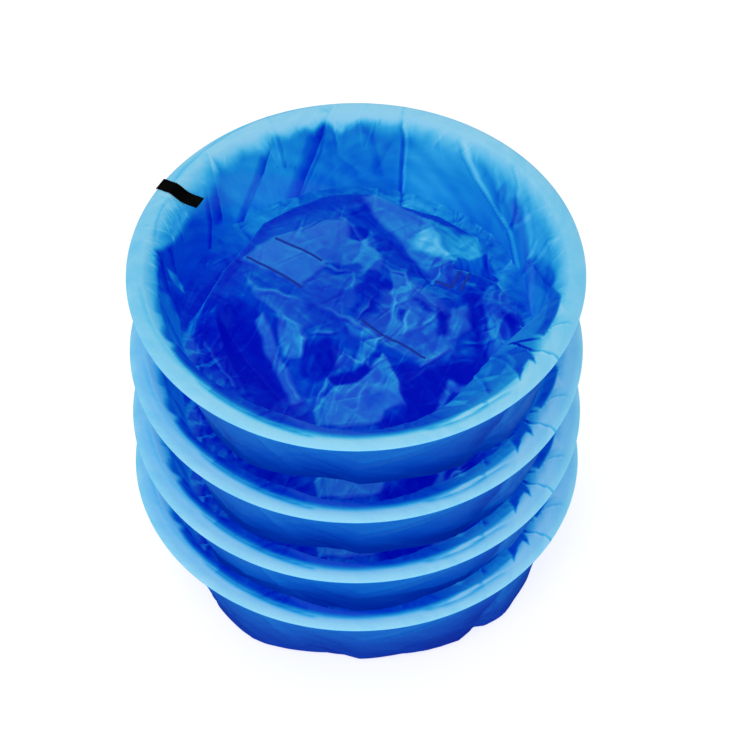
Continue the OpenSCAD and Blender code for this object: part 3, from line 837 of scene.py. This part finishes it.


# Areas of the gathered film: tone, painted sheen, softness of their edge, fade, outline in millimetres.
# A fade makes the area strongest along its first edge and weaker away from it.
PATCHES = [
    (0.34, 0, 2.2, 0, [(-52, 10), (-40, 24), (-30, 32), (-20, 40), (-8, 47), (8, 46), (-4, 35), (-19, 30),
     (-40, 18)]),
    (0.44, 0.34, 1.2, 0.2, [(-40, 18), (-28, 27), (-19, 30), (-11, 14), (-13, 10), (-19, 3.5), (-31, 11)]),
    (0.38, 0.34, 1.2, 0.2, [(-19, 30), (-4, 35), (-2, 27), (-11, 14)]),
    (0.48, 0.26, 1, 0.4, [(-2, 27), (4, 27), (9, 17), (8.5, 10), (2, 11), (-2, 12), (-11, 14)]),
    (0.32, 0.15, 1.5, 0, [(-19, 3), (-12, 10), (-4, 8.5), (4, 2), (-2, -5), (-8, -3)]),
    (0.26, 0, 1, 0.2, [(-9, 13.5), (0, 16), (2, 12), (-4, 9)]),
    (0.26, 0, 1.4, 0, [(-4, 41), (4, 44), (7, 33), (17, 26), (27, 10), (20, 12), (9, 21), (4, 27), (0, 32)]),
    (0.5, 0.26, 1.4, 0, [(3, 44), (8, 45), (18, 38), (26, 33), (30, 26), (33, 18), (32, 15), (29, 17),
     (24, 19), (17, 26), (8, 33)]),
    (0.82, 0.11, 2, 0.5, [(33, 18), (24, 19), (19, 25), (24, 32), (30, 26)]),
    (0.62, 0, 1.5, 0.2, [(26, 33), (43, 27), (45, 18), (38, 11), (33, 18), (30, 26)]),
    (0.44, 0.15, 1, 0.4, [(29, 17), (17, 26), (21, 17), (27, 8), (32, 15)]),
    (0.26, 0.08, 1, 0.2, [(27, 9), (33, 4), (38, 8), (38, 12), (33, 16)]),
    (0.26, 0, 4.5, 0, [(-52, 12), (-60, -2), (-56, -8), (-44, -3), (-38, 8), (-38, 18)]),
    (0, 0, 4.5, 0, [(-56, -8), (-42, 2), (-34, -8), (-27, -26), (-20, -40), (-33, -38), (-48, -24)]),
    (0.12, 0, 4.5, 0, [(-46, -28), (-32, -34), (-20, -40), (-14, -50), (-30, -46)]),
    (0.3, 0.08, 2.2, 0, [(-20, 3), (-9, 7), (0, 8), (2, 2), (-4, -4), (-4, -12), (-16, -5)]),
    (0.2, 0, 2.2, 0, [(-2, -12), (0, 0), (3, 9), (10, 9), (13, 2), (12, -8), (6, -10)]),
    (0.34, 0.18, 2.2, 0, [(10, 2), (20, 8), (30, -2), (34, -12), (34, -22), (24, -27), (8, -18), (-1, -11),
     (8, -7)]),
    (0.46, 0.24, 1.2, 0.3, [(13, 3), (12, -6), (13, -13), (17, -15), (22, -14), (22, -10), (19, -6),
     (19, 0)]),
    (0.5, 0.22, 1, 0.4, [(12, 11), (17, 10), (19, 6), (19, 0), (14, 2), (13, 6)]),
    (0.22, 0, 0.9, 0.4, [(14, -3), (17, -5), (16, -11), (14, -8)]),
    (0.16, 0, 1, 0.2, [(20, 0), (25, -4), (28, -8), (23, -6)]),
    (0.44, 0.15, 1, 0.4, [(23, -12), (28, -8), (28, -13), (24, -16)]),
    (0.08, 0, 1.4, 0, [(28, -5), (32, -7), (31.5, -17), (29, -18), (28, -13)]),
    (0.42, 0.24, 1.2, 0.2, [(33, -5), (39, -1), (40, -9), (35, -16), (32, -10)]),
    (0.38, 0.18, 1.4, 0.3, [(24, -26), (33, -21), (34, -16), (28, -17), (22, -21)]),
    (0.34, 0.15, 1.2, 0.3, [(-35, 2.5), (-26, 0.5), (-18, -2), (-10, -6), (-14, -12), (-20, -14), (-28, -7)]),
    (0.24, 0.04, 1.5, 0.3, [(-18, -2), (-2, -10), (7, -17), (0, -20), (-9, -15), (-16, -13)]),
    (0.5, 0.11, 0.9, 0.4, [(-4, -11), (4, -15), (7, -17), (2, -18), (-2, -15)]),
    (0.14, 0, 1.2, 0, [(-18, -19), (-9, -17), (-3, -20), (-6, -26), (-10, -31), (-15, -33), (-20, -28)]),
    (0.46, 0.27, 0.9, 0.2, [(-28, -7), (-20, -14), (-17, -18), (-19, -22), (-23, -22), (-26, -17)]),
    (0.54, 0.19, 0.9, 0.3, [(-21, -15), (-17, -18), (-19, -22), (-20, -18)]),
    (0.4, 0.29, 1, 0.2, [(-35, -7), (-33, -6), (-29, -13), (-25, -24), (-21, -33), (-18, -39), (-21, -39),
     (-25, -33), (-29, -23), (-33, -13)]),
    (0.42, 0.15, 1, 0.4, [(-59, -6), (-55, -14), (-55, -28), (-60, -18)]),
    (0.34, 0.08, 1.4, 0.2, [(-8, -20), (-1, -21), (-2, -26), (-6, -27)]),
    (0.56, 0.15, 0.9, 0.3, [(3, -18), (9, -17), (7, -22), (2, -26), (-2, -25), (1, -22)]),
    (0.04, 0, 0.9, 0, [(-10, -31), (-4, -27.5), (5, -27), (2, -31), (-6, -34)]),
    (0.02, 0, 3.3, 0, [(14, -26), (24, -29), (36, -24), (44, -24), (42, -36), (30, -48), (20, -56),
     (10, -58), (8, -49), (17, -43), (13, -32)]),
    (0.42, 0.27, 0.9, 0, [(9, -24), (13, -31), (16.5, -42), (10, -45), (8, -49), (-2, -50), (-12, -50),
     (-14, -44), (-7, -34), (-2, -33), (4, -30)]),
    (0.54, 0.19, 0.9, 0.5, [(9, -24), (13, -31), (16, -41), (11, -37), (7, -29)]),
    (0.3, 0.15, 2.1, 0, [(4, -37), (9, -37), (10, -43), (4, -44)]),
    (0.52, 0.11, 1.2, 0.3, [(-11, -38), (-9, -39), (-11, -50), (-14, -50), (-14, -44)]),
    (0.12, 0, 2.4, 0, [(36, 6), (46, 2), (46, -12), (48, -24), (42, -26), (40, -8)]),
    (0.3, 0.08, 1.5, 0, [(46, 2), (52, 5), (58, -5), (55, -20), (48, -24), (46, -12)]),
    (0.48, 0.08, 0.9, 0.4, [(46, 1), (47, -8), (51, -16), (49, -18), (45, -8)]),
    (0.02, 0, 1.2, 0, [(50, -3), (56, -6), (55, -10), (50, -7)]),
    (0.5, 0.08, 0.9, 0.3, [(52, -10), (55, -12), (54, -20), (51, -16)]),
    (0.44, 0.15, 0.9, 0.2, [(32, -33), (38, -33), (37, -40), (31, -47), (24, -50), (29, -42)]),
    (0.1, 0, 0.9, 0.2, [(33, -36), (36, -36), (35, -41), (31, -44)]),
]

# Outline of the gathered film; beyond it the wall's own film shows
BODY = [
    (-57, -8), (-54, 2), (-48, 15), (-38, 27), (-33, 34), (-23, 41), (-9, 47), (4, 47), (17, 41), (29, 38),
    (44, 28), (46, 19), (43, 12), (49, 9), (54, 2), (60, -8), (62, -30), (40, -60), (0, -75), (-40, -60),
    (-62, -30),
]

# Creases with painted light: change of tone, a painted highlight where it is above 0 and painted shade where
# it is below, width before and after the crease, points
CREASES = [
    (0.28, 0.5, 1.6, [(-38, 7.5), (-35, 1.5), (-28, -6.5), (-20, -14), (-17.5, -18)]),
    (0.28, 1.2, 0.6, [(-35, 2.5), (-26, 0.5), (-18, -2), (-10, -6.5), (-2, -10.5), (7, -16.5), (14, -21.5),
     (24, -26), (28, -24.5), (33, -20.5)]),
    (0.21, 0.4, 0.8, [(-2, -12), (3.5, -5.5), (7.5, 1.5)]),
    (0.28, 0.5, 1.2, [(8.5, 13), (12.5, 11.5), (16.5, 11), (19, 6.5), (19.5, -1), (18, -5.5),
     (16.5, -10.5), (17, -14.5)]),
    (0.21, 0.5, 1, [(13, 4), (14, -3.5), (15, -11)]),
    (0.21, 0.5, 1, [(17, -15), (23, -13), (27.5, -9), (30, -5.5)]),
    (0.18, 0.5, 1, [(20.4, 4.3), (24.5, -1.3), (29.6, -6.4)]),
    (0.18, 0.4, 1.4, [(-33.5, -7), (-30, -14), (-26, -24.5), (-22.5, -33), (-20, -37)]),
    (0.17, 0.4, 0.8, [(-18.5, -19), (-19.5, -22), (-23, -22.5)]),
    (0.23, 0.5, 1, [(-15.5, -16), (-12.5, -15.5), (-8, -15.5)]),
    (0.23, 0.5, 1, [(9, -17), (6, -23), (2, -26), (-1.5, -23)]),
    (0.23, 0.5, 1.4, [(-5, -22.5), (-9, -29), (-11.5, -35.5), (-13.5, -41), (-14, -48)]),
    (0.17, 0.5, 1, [(2, -24.5), (4.5, -28), (10, -26)]),
    (0.17, 0.4, 1.2, [(9, -24), (13, -31), (16.5, -42)]),
    (0.13, 0.4, 1, [(0, -33), (-4, -38), (-7, -44)]),
    (0.13, 0.4, 1, [(5, -30), (2, -37), (0, -45)]),
    (0.14, 0.4, 1.2, [(-53, -12), (-48, -22), (-43, -31)]),
    (-0.21, 0.6, 1.2, [(28.5, -5), (32, -7), (31.5, -17), (33, -22.5)]),
    (0.18, 0.5, 1.2, [(-12, 12), (-8, 11.5), (-4, 12), (-1, 11), (-1, 3)]),
    (0.13, 0.4, 1.4, [(-19, 30), (-12, 34), (-5, 35), (2, 27), (8, 18)]),
    (0.13, 0.4, 1.4, [(7, 45), (6, 36), (14, 26), (20, 19)]),
    (0.14, 0.5, 1.4, [(26, 32), (29, 23), (36, 13)]),
    (-0.17, 1, 1.2, [(12, 4), (20, -1), (28, -6)]),
    (0.17, 0.5, 1.2, [(22.5, -28.5), (27, -25), (31, -22.5)]),
    (-0.17, 1.2, 1.4, [(3, -12), (10, -18), (17, -24.5)]),
    (-0.13, 0.8, 1, [(-3, -7), (-1, -9.5)]),
    (-0.21, 0.4, 0.8, [(17, 24), (21, 15.5), (26.4, 6)]),
    (-0.14, 0.4, 0.6, [(31, 10), (34, 6)]),
    (0.17, 0.3, 0.6, [(27.3, 7), (29, 13)]),
    (0.13, 0.3, 0.6, [(24, 12), (27, 16)]),
    (0.18, 0.4, 0.8, [(47, -2), (49, -12), (54, -20)]),
    (0.18, 0.4, 0.8, [(51, 3), (50, -4), (53, -12)]),
    (-0.17, 0.5, 0.8, [(44, -4), (46, -14), (50, -24)]),
    (0.14, 0.5, 1, [(58, -28), (48, -38), (40, -44)]),
    (0.17, 0.4, 0.9, [(40, -36), (34, -42), (33, -50)]),
    (0.14, 0.4, 0.9, [(30, -46), (26, -54), (22, -60)]),
    (0.14, 0.4, 0.8, [(46, -22), (44, -30), (38, -36)]),
    (0.13, 0.4, 1.4, [(-50, -39), (-38, -48), (-26, -58)]),
    (0.1, 0.4, 1.2, [(-56, -12), (-50, -28), (-40, -40)]),
    (-0.21, 0.6, 3, [(-21, 60), (-19, 45), (-26, 39)]),
    (-0.18, 0.6, 2, [(-42, 47), (-37, 36), (-34, 33)]),
    (-0.17, 0.6, 2.4, [(-50, 38), (-44, 24), (-42, 18)]),
    (-0.13, 0.6, 2, [(-58, 20), (-52, 12)]),
    (-0.18, 0.6, 1.6, [(16, 60), (15, 44)]),
    (0.14, 0.6, 2, [(55, 28), (50, 16), (54, 4)]),
    (0.1, 0.6, 2.4, [(48, 40), (45, 28), (48, 14)]),
]


def paint(x, y):
    """Tone with painted light and shade, painted sheen and relief of the gathered film from its areas and
    creases.
    """
    y = y - PATTERN_Y
    warp_x = x + 0.40 * np.sin(y * 0.30 + 1.0) + 0.30 * np.sin(y * 0.8 + x * 0.5)
    warp_y = y + 0.40 * np.sin(x * 0.32 + 2.0) + 0.30 * np.sin(x * 0.7 - y * 0.6)
    wall = at_azimuth(AROUND, np.degrees(np.arctan2(y + PATTERN_Y, x)) % 360, 2) - 0.06
    edge = to_polyline(x, y, BODY, closed=True)[0] * np.where(inside(x, y, BODY), 1.0, -1.0)
    body = smooth(edge, -0.6, 0.6)
    tone = wall * (1 - body) + BODY_TONE * body
    painted_sheen, lift = np.zeros_like(tone), np.zeros_like(tone)
    for level, sheen_level, soft, fade, line in PATCHES:
        d, _side = to_polyline(warp_x, warp_y, line, closed=True)
        weight = smooth(np.where(inside(warp_x, warp_y, line), d, -d), -soft, soft)
        if fade:
            away, _side = to_polyline(warp_x, warp_y, line[:2])
            weight = weight * (1 - fade * smooth(away, 0, 14))
        tone = tone * (1 - weight) + level * weight
        painted_sheen = painted_sheen * (1 - weight) + sheen_level * weight
        lift = lift + (PATCH_LIFT if sheen_level > 0.15 else 0.0) * weight
    for change, before, after, line in CREASES:
        d, side = to_polyline(warp_x, warp_y, line)
        swell = 0.55 + 0.45 * np.sin(x * 0.35 + y * 0.28 + change * 40)
        edge = fold_height(d * side, before * 0.8, after)
        # along each crease a painted highlight for a positive change and painted shade for a negative one;
        # the highlights also get painted sheen
        tone = tone + 0.75 * change * swell * edge
        painted_sheen = painted_sheen + 1.2 * max(change, 0) * swell * edge
        lift = lift + 2.2 * change * swell * fold_height(d * side, before * 1.2, after * 2.6)
    # fine creases, each painted a little lighter or darker as painted light and shade of its small facets
    rng = random.Random(5)
    for _ in range(FINE_CREASES):
        r, a = HEAP_R * math.sqrt(rng.random()), rng.uniform(0, 2 * math.pi)
        cx, cy, length = r * math.cos(a), r * math.sin(a), rng.uniform(2, 7)
        lie = math.radians(rng.choice(CREASE_LIES) + rng.uniform(-14, 14))
        change = rng.choice((-1, 1)) * rng.uniform(0.02, 0.08) * (0.7 + 1.3 * crumpling(cx, cy))
        before, after = rng.uniform(0.25, 0.6), rng.uniform(0.5, 2.2)
        dx, dy = x - cx, y - cy
        along, across = dx * math.cos(lie) + dy * math.sin(lie), dy * math.cos(lie) - dx * math.sin(lie)
        shape = fold_height(across, before, after) * np.clip(1.3 - np.abs(along) / length, 0, 1)
        tone = tone + change * shape
        lift = lift + 2.6 * change * shape
    return tone, painted_sheen, lift


HX, HY, HEAP_FACES = disc_grid(HEAP_N, HEAP_R)
HEAP_SURFACE = crumpled_surface(20)
HZ = np.array([drop_on(HEAP_SURFACE, x, y, 17.0) for x, y in zip(HX, HY)])
HTONE, HSHEEN, HLIFT = paint(HX, HY)


def relax(values, rounds, amount):
    """Light smoothing of grid values."""
    v = values.reshape(HEAP_N, HEAP_N).copy()
    for _ in range(rounds):
        mean = v.copy()
        mean[1:-1, 1:-1] = (v[:-2, 1:-1] + v[2:, 1:-1] + v[1:-1, :-2] + v[1:-1, 2:]) / 4
        v += (mean - v) * amount
    return v.ravel()


def slope(z, toward_x, toward_y):
    """How much the gathered film rises toward a direction."""
    down, across = np.gradient(z.reshape(HEAP_N, HEAP_N), 2 * HEAP_R / HEAP_N)
    return (toward_x * across + toward_y * down).ravel()


def pressed(z, unit):
    """Heights of the gathered film under the unit that stands on it."""
    lid = RISE[unit] - 0.5
    past = np.clip((np.hypot(HX, HY) - SEAT_FLAT_R) / SEAT_CORNER, 0, None)
    ceiling = lid + np.where(past > 0, 1 - np.sqrt(np.clip(1 - past**2, 0, 1)), 0) * SEAT_CORNER
    z = HEAP_Z + (z - HEAP_Z) * min(1.0, (lid - HEAP_Z) / (HEAP_TOP - HEAP_Z) * 1.15)
    over = z - (ceiling - 1.2)
    return np.where(over > 0, ceiling - 1.2 + 1.2 * (1 - np.exp(-over / 1.2)), z)


def gathered(unit):
    """The rest of the bag, crumpled in the middle; returns its surface, for the print on it."""
    z = relax(HZ, 2, 0.5) + HLIFT
    if unit != TOP:
        z = pressed(z, unit)
    # painted light and shade: film facing up toward the back-left lamp and the ridges of creases are painted
    # paler, film facing the other way darker
    tone = HTONE + 0.08 * np.clip((z - relax(z, 6, 0.8)) / 0.30, -0.8, 1)
    tone = tone + 0.10 * np.clip(slope(relax(z, 1, 0.5), 0.5, -0.8), -1, 1)
    tone = tone + 0.5 * np.clip(slope(z - relax(z, 60, 0.9), 0.6, -0.8), -0.2, 0.2)
    verts = np.stack([HX, HY, z], -1)
    tones = {"tone": np.clip(tone, 0, 1), "painted_sheen": np.clip(HSHEEN, 0, 1)}
    along = HX * math.cos(STREAK_LIE) + HY * math.sin(STREAK_LIE)
    across = HY * math.cos(STREAK_LIE) - HX * math.sin(STREAK_LIE)
    streaks = np.stack([along * 0.08, across * 0.22, 0 * along], -1)
    obj = make_mesh(f"gathered_bag_{unit}", verts, HEAP_FACES, tones, streaks, lift=BASE_Z[unit])
    thicken(obj, FILM)
    obj.data.materials.append(HEAP)
    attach(obj, f"unit_{unit}")
    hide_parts(f"gathered_film_{unit}")
    return BVHTree.FromPolygons([Vector(v) for v in verts], HEAP_FACES)


# ------------ printed scale
# The printed lines, each from one x, y to another
MARKS = [
    ((-38.5, 17), (-19, 1.5)), ((-28.5, 24.5), (-12, 13)), ((2, -12), (24, -27)), ((27.5, 7.5), (33, 3.5)),
    ((33, 3.5), (38, 13)), ((36.5, 2.5), (41, 12)),
]
MARK_W, MARK_STEP, MARK_THICK = 0.95, 0.5, 0.08


def printed_scale(unit, surface):
    """Graduation lines printed on the gathered film, following its folds."""
    verts, faces = [], []
    for (x0, y0), (x1, y1) in MARKS:
        length = math.hypot(x1 - x0, y1 - y0)
        steps = max(4, int(length / MARK_STEP))
        nx, ny = -(y1 - y0) / length, (x1 - x0) / length
        for i in range(steps + 1):
            t = i / steps
            for side in (-1, 0, 1):
                x = x0 + (x1 - x0) * t + nx * side * MARK_W / 2
                y = y0 + (y1 - y0) * t + ny * side * MARK_W / 2
                verts.append((x, y, drop_on(surface, x, y, 20.0) + 0.06))
            if i:
                k = len(verts) - 6
                faces += [(k, k + 1, k + 4, k + 3), (k + 1, k + 2, k + 5, k + 4)]
    obj = make_mesh(f"printed_scale_{unit}", verts, faces, lift=BASE_Z[unit])
    thicken(obj, MARK_THICK, offset=1.0)
    obj.data.materials.append(INK)
    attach(obj, f"unit_{unit}")
    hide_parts(f"volume_scale_{unit}")


# ------------ closure tie
TIE_HALF_W, TIE_THICK, TIE_COLS = 2.6, 0.35, 13
TAIL_END = {u: (63.3, 2.3) if u == TOP else (68.0, 1.45) for u in UNITS}  # radius, drop below the rim


def tie(unit):
    """Black strip from the rim's edge over the crease to its free tail, bent at the hinge."""
    hx, hy, hz = HINGE[f"tie_{unit}"]["pos_m"]
    crease_r = math.hypot(hx, hy) / MM
    az = math.atan2(hy, hx)
    tip_r, drop = TAIL_END[unit]
    line, _s = meridian(
        [
            (RIM_R - 0.15, UNIT_H - 0.55), (RIM_R - 0.7, UNIT_H + 0.15), (crease_r + 0.4, UNIT_H + 0.3),
            (crease_r - 0.6, UNIT_H + 0.55), ((crease_r + tip_r) / 2, UNIT_H - drop + 0.5),
            (tip_r, UNIT_H - drop + 0.95),
        ],
        0.3, 2,
    )
    verts = []
    for i, (r, z) in enumerate(line):
        for k in range(TIE_COLS):
            w = TIE_HALF_W * (2 * k / (TIE_COLS - 1) - 1)
            fray = 0.10 * math.sin(i * 1.9) * (abs(w) > TIE_HALF_W - 0.01)
            bow = 0.12 * math.cos(math.pi * w / TIE_HALF_W) * math.sin(i * 0.21)
            x = r * math.cos(az) - (w + fray) * math.sin(az)
            y = r * math.sin(az) + (w + fray) * math.cos(az)
            verts.append((x, y, z + bow))
    faces = grid_faces(len(line), TIE_COLS, closed=False)
    obj = make_mesh(f"closure_tie_{unit}", verts, faces, lift=BASE_Z[unit])
    thicken(obj, TIE_THICK, offset=0.0)
    obj.data.materials.append(TIE)
    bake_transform(obj)
    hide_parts(f"tie_anchor_{unit}", f"tie_tail_{unit}")


# ------------ CAD pieces that stay
def finish_cad_pieces():
    """Materials for the ring, hem and bottom seal."""
    for unit in UNITS:
        for node, mat in (("collar_ring", RING), ("hem_weld", WELD), ("bottom_seal", WELD)):
            obj = frame["nodes"][f"{node}_{unit}"]
            obj.data.materials.clear()
            obj.data.materials.append(mat)


# ------------ camera, light, floor
AIM = Vector((6.6 * MM, 0, 84.8 * MM))
DISTANCE = 1.8544  # metres from the point aimed at
ELEVATION = math.radians(49.95)
LENS = 250.4  # mm, on a sensor 36 mm wide
WORLD_LIGHT = 0.40


def add_camera():
    """The photo's viewpoint: straight in front, looking down at about 50 degrees."""
    cam = bpy.data.cameras.new("camera")
    cam.lens = LENS
    cam.sensor_width = 36
    cam.clip_end = 20
    obj = bpy.data.objects.new("camera", cam)
    bpy.context.scene.collection.objects.link(obj)
    away = Vector((0, -math.cos(ELEVATION), math.sin(ELEVATION)))
    obj.location = AIM + away * DISTANCE
    obj.rotation_euler = (-away).to_track_quat("-Z", "Y").to_euler()
    bpy.context.scene.camera = obj


def add_area(name, place, aim, size, power):
    """A soft round lamp."""
    light = bpy.data.lights.new(name, "AREA")
    light.shape = "DISK"
    light.size = size
    light.energy = power
    obj = bpy.data.objects.new(name, light)
    obj.location = place
    obj.rotation_euler = (Vector(aim) - Vector(place)).to_track_quat("-Z", "Y").to_euler()
    bpy.context.scene.collection.objects.link(obj)


def add_studio():
    """Pale floor, even white surroundings and two soft lamps; only the lamps show in reflections."""
    bpy.ops.mesh.primitive_plane_add(size=6, location=(0, 0, 0))
    floor = bpy.context.object
    floor.name = "floor"
    floor.data.materials.append(FLOOR)
    world = bpy.data.worlds.new("studio")
    world.use_nodes = True
    world.node_tree.nodes["Background"].inputs["Color"].default_value = (1, 1, 1, 1)
    world.node_tree.nodes["Background"].inputs["Strength"].default_value = WORLD_LIGHT
    world.cycles_visibility.glossy = False
    floor.visible_glossy = False
    bpy.context.scene.world = world
    add_area("key", (-0.15, -0.85, 1.05), (0, 0, 0.1), 0.7, 3.2)
    add_area("back", (-0.5, 0.65, 1.1), (0, 0, 0.1), 0.9, 1.7)
    bpy.context.scene.view_settings.view_transform = "Standard"


# ------------ build
add_camera()
add_studio()
finish_cad_pieces()
for unit in UNITS:
    lining(unit)
    bag_outside(unit)
    printed_scale(unit, gathered(unit))
    tie(unit)
